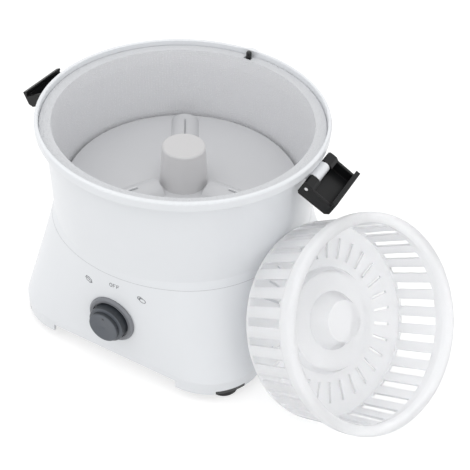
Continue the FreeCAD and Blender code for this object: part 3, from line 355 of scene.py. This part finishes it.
def ribbon(line, width, proud, closed=False):
    """A flat strip with a closed section along points that each carry a normal."""
    points, faces = [], []
    count = len(line)
    for i, (place, normal) in enumerate(line):
        ahead = line[(i + 1) % count][0] if closed or i + 1 < count else place
        behind = line[i - 1][0] if closed or i else place
        side = (ahead - behind).cross(normal).normalized() * (width / 2)
        for step, lift in ((side, proud), (-side, proud), (-side, -proud), (side, -proud)):
            points.append(place + step + normal * lift)
    for i in range(count if closed else count - 1):
        a, b = 4 * i, 4 * ((i + 1) % count)
        for k in range(4):
            j = (k + 1) % 4
            faces.append((a + k, a + j, b + j, b + k))
    if not closed:
        last = 4 * (count - 1)
        faces.append((3, 2, 1, 0))
        faces.append((last, last + 1, last + 2, last + 3))
    return points, faces


def join(parts):
    """Several lists of points and faces as one."""
    points, faces = [], []
    for some, polygons in parts:
        start = len(points)
        points.extend(some)
        faces.extend([tuple(start + i for i in polygon) for polygon in polygons])
    return points, faces


def surface(name):
    """The surface of a CAD node, for laying pieces on it."""
    item = frame["nodes"][name]
    points = [item.matrix_world @ vertex.co for vertex in item.data.vertices]
    polygons = [tuple(polygon.vertices) for polygon in item.data.polygons]
    return BVHTree.FromPolygons(points, polygons)


def dress(material, *names):
    """Gives CAD nodes their material."""
    for name in names:
        mesh = frame["nodes"][name].data
        mesh.materials.clear()
        mesh.materials.append(material)


# Operators, one for each piece or group of like pieces

class PEELER_OT_stage(bpy.types.Operator):
    """Makes the floor, the lamps, the world and the camera"""
    bl_idname = "peeler.stage"
    bl_label = "Studio"

    def execute(self, context):
        make_floor()
        make_lamps()
        make_world(context)
        make_camera(context)
        context.scene.view_settings.view_transform = "Standard"
        return {"FINISHED"}


def camera_ray(tree):
    """1 for rays from the camera, and for those seen in gloss or through clear plastic."""
    path = tree.nodes.new("ShaderNodeLightPath")
    total = path.outputs["Is Camera Ray"]
    for name in ("Is Glossy Ray", "Is Transmission Ray"):
        total = calculated(tree, "MAXIMUM", total, path.outputs[name])
    return total


def make_floor():
    bpy.ops.mesh.primitive_plane_add(size=FLOOR_SIDE, location=(0, 0, 0))
    floor = bpy.context.object
    floor.name = "floor"
    material = bpy.data.materials.new("floor_white")
    material.use_nodes = True
    tree = material.node_tree
    tree.nodes.clear()
    out = tree.nodes.new("ShaderNodeOutputMaterial")
    paper = tree.nodes.new("ShaderNodeBsdfDiffuse")
    paper.inputs["Color"].default_value = FLOOR_GREY
    glow = tree.nodes.new("ShaderNodeEmission")
    glow.inputs["Strength"].default_value = 1.0
    glow.inputs["Color"].default_value = FLOOR_GLOW
    shine = tree.nodes.new("ShaderNodeAddShader")
    soft = tree.nodes.new("ShaderNodeBsdfDiffuse")
    soft.inputs["Color"].default_value = FLOOR_SEEN_GREY
    wire(tree, soft.outputs[0], shine.inputs[0])
    wire(tree, glow.outputs[0], shine.inputs[1])
    mix = tree.nodes.new("ShaderNodeMixShader")
    wire(tree, camera_ray(tree), mix.inputs[0])
    wire(tree, paper.outputs[0], mix.inputs[1])
    wire(tree, shine.outputs[0], mix.inputs[2])
    wire(tree, mix.outputs[0], out.inputs[0])
    floor.data.materials.append(material)


def make_lamps():
    for name, (place, side, power) in LAMPS.items():
        data = bpy.data.lights.new(name, "AREA")
        data.size = side
        data.energy = power
        lamp = bpy.data.objects.new(name, data)
        bpy.context.scene.collection.objects.link(lamp)
        lamp.location = place
        aim = Vector(LAMP_AIM) - Vector(place)
        lamp.rotation_euler = aim.to_track_quat("-Z", "Y").to_euler()


def make_world(context):
    world = bpy.data.worlds.new("studio")
    context.scene.world = world
    world.use_nodes = True
    tree = world.node_tree
    tree.nodes.clear()
    out = tree.nodes.new("ShaderNodeOutputWorld")
    seen = tree.nodes.new("ShaderNodeBackground")
    seen.inputs["Strength"].default_value = WORLD_SEEN
    seen.inputs["Color"].default_value = WHITE
    light = tree.nodes.new("ShaderNodeBackground")
    light.inputs["Strength"].default_value = WORLD_LIGHT
    light.inputs["Color"].default_value = WHITE
    mix = tree.nodes.new("ShaderNodeMixShader")
    wire(tree, camera_ray(tree), mix.inputs[0])
    wire(tree, light.outputs[0], mix.inputs[1])
    wire(tree, seen.outputs[0], mix.inputs[2])
    wire(tree, mix.outputs[0], out.inputs[0])


def make_camera(context):
    data = bpy.data.cameras.new("photo_camera")
    data.sensor_fit = "HORIZONTAL"
    data.sensor_width = SENSOR
    data.lens = FOCAL_PIXELS / PHOTO_PIXELS * SENSOR
    data.clip_start = 0.01
    camera = bpy.data.objects.new("photo_camera", data)
    context.scene.collection.objects.link(camera)
    back = CAMERA_RIGHT.cross(CAMERA_UP)
    turn = Matrix((CAMERA_RIGHT, CAMERA_UP, back)).transposed().to_4x4()
    camera.matrix_world = Matrix.Translation(CAMERA_PLACE) @ turn
    context.scene.camera = camera


def lap_soles(material):
    """Blackens the bottom of each leg, where the rubber of its foot laps it."""
    tree = material.node_tree
    place = object_place(tree)
    flat = vector_sum(tree, "MULTIPLY", place, (1.0, 1.0, 0.0), "Vector")
    away = []
    for name in FEET:
        low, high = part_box(name)
        axis = ((low[0] + high[0]) / 2, (low[1] + high[1]) / 2, 0.0)
        away.append(vector_sum(tree, "DISTANCE", flat, axis))
    near = away[0]
    for distance in away[1:]:
        near = calculated(tree, "MINIMUM", near, distance)
    parts = tree.nodes.new("ShaderNodeSeparateXYZ")
    wire(tree, place, parts.inputs[0])
    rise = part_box("lower_casing")[0][2] + sizes().sole_rise
    facing = tree.nodes.new("ShaderNodeTexCoord").outputs["Normal"]
    outward = vector_sum(tree, "DOT_PRODUCT", flat, facing)
    black = calculated(tree, "LESS_THAN", parts.outputs["Z"], rise)
    for limit in (calculated(tree, "LESS_THAN", near, sizes().sole_reach),
                  calculated(tree, "GREATER_THAN", outward, 0.0)):
        black = calculated(tree, "MULTIPLY", black, limit)
    faced(material, black, colours().rubber)


class PEELER_OT_housing(bpy.types.Operator):
    """Finishes the casings, the base plate, the feet and their screws"""
    bl_idname = "peeler.housing"
    bl_label = "Housing"

    def execute(self, context):
        white = moulded("casing_white", colours().casing, rough=0.30, coat=0.15)
        dress(white, "upper_casing")
        soled = moulded("casing_soled", colours().casing, rough=0.30, coat=0.15)
        lap_soles(soled)
        dress(soled, "lower_casing")
        dress(moulded("base_grey", colours().base, rough=0.5), "bottom_plate")
        dress(rubber("foot_rubber", colours().rubber), "cord_inlet", *FEET)
        dress(metal("screw_zinc", (0.55, 0.55, 0.53), rough=0.35), "foot_screws")
        return {"FINISHED"}


class PEELER_OT_bowl(bpy.types.Operator):
    """Finishes the peeling bowl, the disc with its blades and the centre column"""
    bl_idname = "peeler.bowl"
    bl_label = "Bowl and disc"

    def execute(self, context):
        dress(pimpled("bowl_milky", colours().bowl, colours().flange_shade), "peeling_bowl")
        dress(moulded("disc_grey", colours().disc, rough=0.35), "peeling_disc")
        dress(metal("blade_steel", (0.72, 0.73, 0.74), rough=0.22), "disc_blades")
        column = moulded("column_blue_grey", colours().column, rough=0.34)
        # The column's upward faces take the column top grey: painted shade that darkens its top
        up = looking(column.node_tree, (0.0, 0.0, 1.0))
        dress(faced(column, up, colours().column_top_shade), "centre_column")
        return {"FINISHED"}


class PEELER_OT_controls(bpy.types.Operator):
    """Finishes the knob, its bezel, the interlock pin and the switches"""
    bl_idname = "peeler.controls"
    bl_label = "Controls"

    def execute(self, context):
        bezel = moulded("bezel_grey", colours().bezel, rough=0.38, grain=1600.0,
                        depth=0.03 * MM, strength=0.35, change=0.006, edge=0.4 * MM)
        dress(bezel, "knob_bezel")
        knob = moulded("knob_slate", colours().knob, rough=0.36, grain=1800.0,
                       depth=0.02 * MM, strength=0.3, change=0.006, edge=0.5 * MM)
        # The knob's face takes the face grey and its sides keep the darker knob grey: painted
        # shade on the sides
        front = looking(knob.node_tree, PANEL_OUT)
        dress(faced(knob, front, colours().knob_face), "control_knob")
        dress(moulded("pin_black", colours().latch, rough=0.3), "interlock_pin")
        dress(moulded("switch_black", (0.03, 0.03, 0.03), rough=0.45), "rotary_switch",
              "microswitch", "terminal_block", "motor_end_cap")
        dress(moulded("board_green", (0.03, 0.14, 0.06), rough=0.4), "control_board")
        return {"FINISHED"}


# Panel marks, as lines of places u, v on the control panel

def knob_axis_point():
    low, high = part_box("knob_bezel")
    return (Vector(low) + Vector(high)) / 2


def on_wall(wall, u, v):
    """The point of the wall in front of panel place u, v, with its normal."""
    start = knob_axis_point() + Vector((u, 0, 0)) + PANEL_UP * v + PANEL_OUT * WALL_CLEAR * MM
    place, normal = wall.ray_cast(start, -PANEL_OUT)[:2]
    if place is None:
        raise RuntimeError("the panel mark at %.4f, %.4f misses the wall" % (u, v))
    return place, normal


def leant(centre, x, y, lean):
    """The panel place of point x, y of a mark that is leant about its centre."""
    return (centre[0] + x * math.cos(lean) - y * math.sin(lean),
            centre[1] + x * math.sin(lean) + y * math.cos(lean))


def oval(centre, half_width, half_height, lean=0.0, count=28):
    """An ellipse, leant over by an angle, as panel places."""
    line = []
    for i in range(count):
        angle = 2 * math.pi * i / count
        x, y = half_width * math.cos(angle), half_height * math.sin(angle)
        line.append(leant(centre, x, y, lean))
    return line


def letters_off():
    """The strokes of the word OFF, as (places, closed)."""
    height, width = sizes().letter_height, sizes().letter_width
    pitch = width * 1.5
    strokes = [(oval((OFF_PLACE[0] - pitch, OFF_PLACE[1]), width / 2, height / 2), True)]
    for number in range(2):
        left = OFF_PLACE[0] + pitch * number - width / 2
        low, high = OFF_PLACE[1] - height / 2, OFF_PLACE[1] + height / 2
        middle = OFF_PLACE[1] + height * 0.04
        strokes.append(([(left + width, high), (left, high), (left, low)], False))
        strokes.append(([(left, middle), (left + width * 0.8, middle)], False))
    return strokes


def leaf_mark():
    """A salad leaf: a wavy outline with a midrib and two veins."""
    radius, wave, waves, count = 3.0, 0.35, 7, 44
    stretch, squash = 1.15, 0.72
    outline = []
    for i in range(count):
        angle = 2 * math.pi * i / count
        reach = (radius + wave * math.cos(waves * angle)) * MM
        x, y = reach * stretch * math.cos(angle), reach * squash * math.sin(angle)
        outline.append(leant(LEAF_PLACE, x, y, LEAF_LEAN))
    u, v = LEAF_PLACE
    rib = [(u - 2.4 * MM, v + 1.3 * MM), (u + 2.9 * MM, v - 1.6 * MM)]
    rib_slope, vein_back, vein_rise = 0.55, 0.2, 1.3
    veins = []
    for x in (-0.7, 0.9):
        root = (u + x * MM, v - x * rib_slope * MM)
        tip = (u + (x - vein_back) * MM, v + (vein_rise - x * rib_slope) * MM)
        veins.append(([root, tip], False))
    return [(outline, True), (rib, False)] + veins


def tuber_mark():
    """Two potatoes, one behind the other, the rear one with eyes."""
    u, v = TUBER_PLACE
    front = oval((u + 1.0 * MM, v - 0.8 * MM), 2.7 * MM, 1.7 * MM, TUBER_LEAN)
    rear = oval((u - 1.1 * MM, v + 0.9 * MM), 2.4 * MM, 1.6 * MM, TUBER_LEAN)
    past_front = slice(4, 23)
    eye = 0.22 * MM
    eyes = [(oval((u + x * MM, v + y * MM), eye, eye, count=8), True)
            for x, y in ((-2.0, 1.3), (-1.0, 1.5), (-1.5, 0.5))]
    return [(front, True), (rear[past_front], False)] + eyes


class PEELER_OT_marks(bpy.types.Operator):
    """Prints OFF, a leaf and two potatoes over the knob"""
    bl_idname = "peeler.marks"
    bl_label = "Panel marks"

    def execute(self, context):
        wall = surface("lower_casing")
        ink = moulded("mark_ink", colours().print_ink, rough=0.5)
        marks = {
            "mark_off": letters_off(),
            "mark_leaf": leaf_mark(),
            "mark_potatoes": tuber_mark(),
        }
        for name, strokes in marks.items():
            parts = []
            for places, closed in strokes:
                line = [on_wall(wall, u, v) for u, v in places]
                parts.append(ribbon(line, sizes().mark_line, sizes().mark_proud, closed))
            add_mesh(name, *join(parts), ink, "housing", "bezel_plastic")
        return {"FINISHED"}


class PEELER_OT_seam(bpy.types.Operator):
    """Draws the shadow of the seam where the upper casing stands on the lower one"""
    bl_idname = "peeler.seam"
    bl_label = "Casing seam"

    def execute(self, context):
        wall = surface("lower_casing")
        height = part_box("lower_casing")[1][2] - sizes().seam_line / 2
        line = []
        for i in range(SEAM_POINTS):
            angle = 2 * math.pi * i / SEAM_POINTS
            out = Vector((math.cos(angle), math.sin(angle), 0))
            start = out * SEAM_CLEAR + Vector((0, 0, height))
            line.append(wall.ray_cast(start, -out)[:2])
        shade = moulded("seam_shade", colours().seam, rough=0.6)
        strip = ribbon(line, sizes().seam_line, sizes().mark_proud, True)
        add_mesh("casing_seam", *strip, shade, "housing", "white_casing")
        return {"FINISHED"}


class PEELER_OT_pointer(bpy.types.Operator):
    """Lays the pointer dot on the face of the knob, a little proud of it"""
    bl_idname = "peeler.pointer"
    bl_label = "Pointer dot"

    def execute(self, context):
        face = surface("control_knob")
        middle = knob_axis_point() + PANEL_UP * sizes().dot_reach
        count = DOT_POINTS
        points, faces = [], []
        for ring, share in enumerate((1.0, 0.8, 0.45)):
            for i in range(count):
                angle = 2 * math.pi * i / count
                reach = sizes().dot_radius * share
                spot = middle + Vector((1, 0, 0)) * reach * math.cos(angle)
                spot += PANEL_UP * reach * math.sin(angle)
                place = face.ray_cast(spot + PANEL_OUT * KNOB_CLEAR * MM, -PANEL_OUT)[0]
                points.append(place + PANEL_OUT * (0.02 + 0.05 * ring) * MM)
        for ring in range(2):
            for i in range(count):
                j = (i + 1) % count
                a, b = ring * count, (ring + 1) * count
                faces.append((a + i, a + j, b + j, b + i))
        faces.append(tuple(2 * count + i for i in range(count)))
        dark = moulded("dot_dark", (0.01, 0.01, 0.012), rough=0.4)
        add_mesh("knob_pointer_dot", points, faces, dark, "knob", "knob_plastic")
        return {"FINISHED"}


class PEELER_OT_latches(bpy.types.Operator):
    """Finishes both latches and their hinge pins"""
    bl_idname = "peeler.latches"
    bl_label = "Latches"

    def execute(self, context):
        black = moulded("latch_black", colours().latch, rough=0.34, grain=900.0,
                        depth=0.02 * MM, strength=0.2, change=0.003, spec=0.26, edge=0.9 * MM)
        dress(black, "latch_right", "latch_left")
        dress(metal("pin_steel", (0.62, 0.62, 0.63), rough=0.3), "hinge_pin_right",
              "hinge_pin_left", "drive_spindle", "drive_dog", "knob_shaft", "pin_spring")
        return {"FINISHED"}


class PEELER_OT_drive(bpy.types.Operator):
    """Finishes the spindle, motor, pulleys and belt inside the housing"""
    bl_idname = "peeler.drive"
    bl_label = "Drive"

    def execute(self, context):
        alloy = metal("cast_alloy", (0.52, 0.52, 0.53), rough=0.5, grain=500.0, stretch=(1, 1, 1))
        dress(alloy, "spindle_housing")
        dress(metal("bearing_steel", (0.7, 0.7, 0.71), rough=0.2), "lower_bearing",
              "upper_bearing")
        dress(rubber("drive_rubber", colours().rubber), "shaft_seal", "drive_belt")
        dress(moulded("pulley_grey", (0.06, 0.06, 0.065), rough=0.45), "driven_pulley",
              "motor_pulley")
        zinc = metal("zinc_sheet", (0.56, 0.57, 0.56), rough=0.38, grain=200.0, stretch=(1, 1, 1))
        dress(zinc, "motor_chassis", "motor_can", "interlock_bracket")
        dress(moulded("magnet_dark", (0.03, 0.03, 0.032), rough=0.5), "motor_magnets")
        copper = metal("rotor_copper", (0.60, 0.28, 0.14), rough=0.35, grain=500.0,
                       stretch=(6, 6, 1))
        dress(copper, "motor_rotor")
        return {"FINISHED"}


class PEELER_OT_basket(bpy.types.Operator):
    """Finishes the salad basket"""
    bl_idname = "peeler.basket"
    bl_label = "Salad basket"

    def execute(self, context):
        white = milky("basket_milky", colours().basket, rough=0.5, transmission=0.54)
        dress(white, "salad_basket")
        return {"FINISHED"}


CLASSES = [PeelerColours, PeelerSizes, PEELER_OT_stage, PEELER_OT_housing, PEELER_OT_bowl,
           PEELER_OT_controls, PEELER_OT_marks, PEELER_OT_seam, PEELER_OT_pointer,
           PEELER_OT_latches, PEELER_OT_drive, PEELER_OT_basket]


class PEELER_PT_panel(bpy.types.Panel):
    """Lists the operators and the values in the sidebar"""
    bl_idname = "PEELER_PT_panel"
    bl_label = "Potato peeler"
    bl_space_type = "VIEW_3D"
    bl_region_type = "UI"
    bl_category = "Peeler"

    def draw(self, context):
        for item in CLASSES:
            if issubclass(item, bpy.types.Operator):
                self.layout.operator(item.bl_idname)
        for group in (context.scene.peeler_colours, context.scene.peeler_sizes):
            for name in group.__annotations__:
                self.layout.prop(group, name)


def register():
    for item in CLASSES + [PEELER_PT_panel]:
        bpy.utils.register_class(item)
    bpy.types.Scene.peeler_colours = bpy.props.PointerProperty(type=PeelerColours)
    bpy.types.Scene.peeler_sizes = bpy.props.PointerProperty(type=PeelerSizes)


def unregister():
    del bpy.types.Scene.peeler_sizes
    del bpy.types.Scene.peeler_colours
    for item in reversed(CLASSES + [PEELER_PT_panel]):
        bpy.utils.unregister_class(item)


def main():
    register()
    bpy.ops.peeler.stage()
    bpy.ops.peeler.housing()
    bpy.ops.peeler.bowl()
    bpy.ops.peeler.controls()
    bpy.ops.peeler.marks()
    bpy.ops.peeler.seam()
    bpy.ops.peeler.pointer()
    bpy.ops.peeler.latches()
    bpy.ops.peeler.drive()
    bpy.ops.peeler.basket()


if __name__ == "__main__":
    main()
